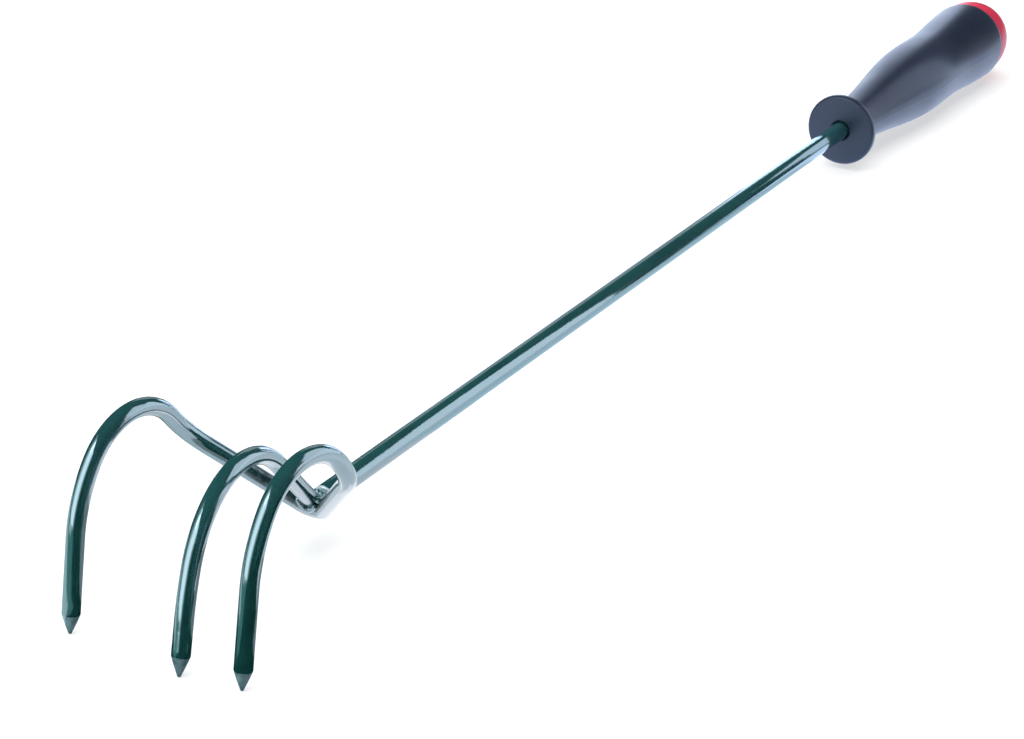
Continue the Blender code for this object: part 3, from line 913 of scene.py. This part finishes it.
def reflector(name, corners, material):
    """Card that shows in glossy reflections and lights nothing else."""
    obj = plane(name, corners, material)
    obj.visible_camera = False
    obj.visible_diffuse = False
    obj.visible_shadow = False
    obj.visible_transmission = False
    obj.visible_volume_scatter = False
    return obj


plane("floor", lying(rectangle(-FLOOR_SIZE, FLOOR_SIZE, -FLOOR_SIZE, FLOOR_SIZE), 0.0), floor_material())

# The key light is one card that lights the tool and one, faded to its sides, that its gloss shows
key_side = (TINES_MIDDLE, -30.0, 30.0)
key_light = card_material("key_light", 1.6, SOFT_WHITE)
key_glow_light = card_material("key_glow_light", 2.6, SOFT_WHITE, KEY_FADE)
key_card = card("key_card", *key_side, 2.8, 3.1, key_light)
key_card.visible_glossy = False
key_glow = card("key_glow", *key_side, 6.2, 3.1, key_glow_light)
key_glow.visible_diffuse = False
card("back_card", TOOL_MIDDLE, 130.0, 8.0, 1.0, 1.2, card_material("back_light", 1.7, PINKISH))
card("dim_card", TOOL_MIDDLE, -150.0, 14.0, 1.2, 1.2, card_material("dim_light", 0.55, PALE_BLUE))
card("nose_card", TINES_MIDDLE, -46.0, 52.0, 0.6, 0.6, card_material("nose_light", 5.0, SOFT_WHITE))

# Lights of the reflectors
black_flag = card_material("black_flag", 0.0, (0.0, 0.0, 0.0))
dark_room = card_material("dark_room", 0.07, (0.55, 0.80, 1.0))
pale = card_material("pale_light", 1.3, PALE_BLUE)
pale_dim = card_material("pale_dim_light", 0.45, PALE_BLUE)
loop_pale = card_material("loop_light", 1.5, PALE_BLUE)
shaft_pale = card_material("shaft_light", 1.32, (0.72, 0.90, 1.0))
bright = card_material("bright_light", 1.9, PINKISH)
teal = card_material("teal_light", 0.3, (0.45, 1.0, 0.92))
outer = card_material("outer_light", 1.05, (0.85, 1.0, 1.0))
near = card_material("near_light", 1.78, (0.86, 0.93, 1.0))
blue = card_material("blue_light", 2.2, (0.70, 0.80, 1.0))
blue_left = card_material("blue_left_light", 3.2, (0.72, 0.82, 1.0))
blue_dim = card_material("blue_dim_light", 1.8, (0.80, 0.87, 1.0))
grip_light = card_material("grip_light", 1.6, (0.80, 0.87, 1.0))

# A tent of dark flags keeps the rods' cores dark; its floor lies just under the other lying cards
reach = FLAG_REACH
tent_floor = rectangle(-reach, reach, -reach, reach)
reflector("floor_flag", lying(tent_floor, FLAG_HEIGHT), black_flag)
reflector("roof_flag", lying(tent_floor, reach), dark_room)
reflector("front_flag", standing(-reach, reach, -reach, 0.0, reach), black_flag)
reflector("back_flag", standing(-reach, reach, reach, 0.0, reach), dark_room)
for side, x in (("left", -reach), ("right", reach)):
    wall = [(x, -reach, 0.0), (x, reach, 0.0), (x, reach, reach), (x, -reach, reach)]
    reflector(side + "_flag", wall, dark_room)

# The pale floor and cards that the gloss shows; slanted ones are given by their four corners
side_corners = ((0.045, -0.235), (0.36, -0.015), (0.36, 0.05), (0.045, 0.05))
front_corners = ((-2.4, -3.0), (0.0, -3.0), (0.0, -0.325), (-0.40, -0.325))
far_corners = ((-1.9, -1.9), (-0.9, -2.6), (-0.13, -0.50), (-0.24, -0.46))
outer_corners = ((-0.60, -0.45), (-0.035, -0.36), (-0.035, -0.24), (-0.60, -0.22))
for name, corners, light in (
    ("glow_left_leg", lying(rectangle(-0.06, -0.003, -0.272, -0.15), GLOW_HEIGHT), pale),
    ("glow_right_leg", lying(rectangle(-0.003, 0.12, -0.272, -0.15), GLOW_HEIGHT), pale),
    ("glow_vee", lying(rectangle(-0.008, 0.03, -0.238, -0.20), TOP_HEIGHT), bright),
    ("glow_loop", lying(rectangle(0.06, 0.12, -0.217, -0.12), TOP_HEIGHT), loop_pale),
    ("glow_side", lying(side_corners, SIDE_HEIGHT), pale),
    ("glow_heel", lying(rectangle(-0.045, 0.058, -0.292, -0.272), GLOW_HEIGHT), pale_dim),
    ("heel_card", standing(-0.08, 0.06, -0.272, 0.0, 0.02), pale_dim),
    ("glow_shaft", lying(rectangle(-0.004, 0.045, -0.15, 0.15), GLOW_HEIGHT), shaft_pale),
    ("glow_left", lying(rectangle(-0.16, -0.004, -0.12, 0.15), GLOW_HEIGHT), blue_dim),
    ("glow_grip", lying(rectangle(-0.10, 0.12, 0.15, 0.60), GLOW_HEIGHT), blue),
    ("glow_front", lying(front_corners, GLOW_HEIGHT), teal),
    ("glow_far", lying(far_corners, TOP_HEIGHT), outer),
    ("glow_outer", lying(outer_corners, TOP_HEIGHT), outer),
    ("near_card", standing(0.078, 0.38, 0.06, 0.0, 0.20), near),
    ("crest_card", standing(0.04, 0.16, -0.15, 0.085, 0.19), loop_pale),
    ("left_card", standing(-0.20, -0.04, 0.38, 0.0, 0.15), blue_left),
    ("grip_card", standing(0.02, 0.08, 0.252, 0.02, 0.10), grip_light),
):
    reflector(name, corners, light)

fill_data = bpy.data.lights.new("fill", "AREA")
fill_data.shape = "SQUARE"
fill_data.size = FILL_SIZE
fill_data.energy = FILL_POWER
fill = bpy.data.objects.new("fill", fill_data)
fill.location = FILL_PLACE
fill.visible_glossy = False
bpy.context.scene.collection.objects.link(fill)

# The world lights the tool faintly and is a white backdrop for the camera and in reflections
world = bpy.data.worlds.new("studio")
bpy.context.scene.world = world
world.use_nodes = True
tree = world.node_tree
ambient = tree.nodes["Background"]
ambient.inputs["Color"].default_value = rgba(AMBIENT_COLOUR)
ambient.inputs["Strength"].default_value = AMBIENT_STRENGTH
backdrop = tree.nodes.new("ShaderNodeBackground")
backdrop.inputs["Color"].default_value = rgba(WHITE)
backdrop.inputs["Strength"].default_value = 1.0
either = tree.nodes.new("ShaderNodeMixShader")
tree.links.new(seen_rays(tree), either.inputs[0])
tree.links.new(ambient.outputs[0], either.inputs[1])
tree.links.new(backdrop.outputs[0], either.inputs[2])
tree.links.new(either.outputs[0], tree.nodes["World Output"].inputs["Surface"])

bpy.context.scene.view_settings.view_transform = "Standard"

camera_data = bpy.data.cameras.new("camera")
camera_data.sensor_width = SENSOR_WIDTH
camera_data.sensor_fit = "HORIZONTAL"
camera_data.lens = CAMERA_LENS
camera_data.shift_x = CAMERA_SHIFT[0]
camera_data.shift_y = CAMERA_SHIFT[1]
camera_data.clip_start = CLIP_START
camera = bpy.data.objects.new("camera", camera_data)
camera_back = CAMERA_RIGHT.cross(CAMERA_UP)
turn = Matrix((CAMERA_RIGHT, CAMERA_UP, camera_back)).transposed()
camera.matrix_world = Matrix.Translation(CAMERA_PLACE) @ turn.to_4x4()
bpy.context.scene.collection.objects.link(camera)
bpy.context.scene.camera = camera
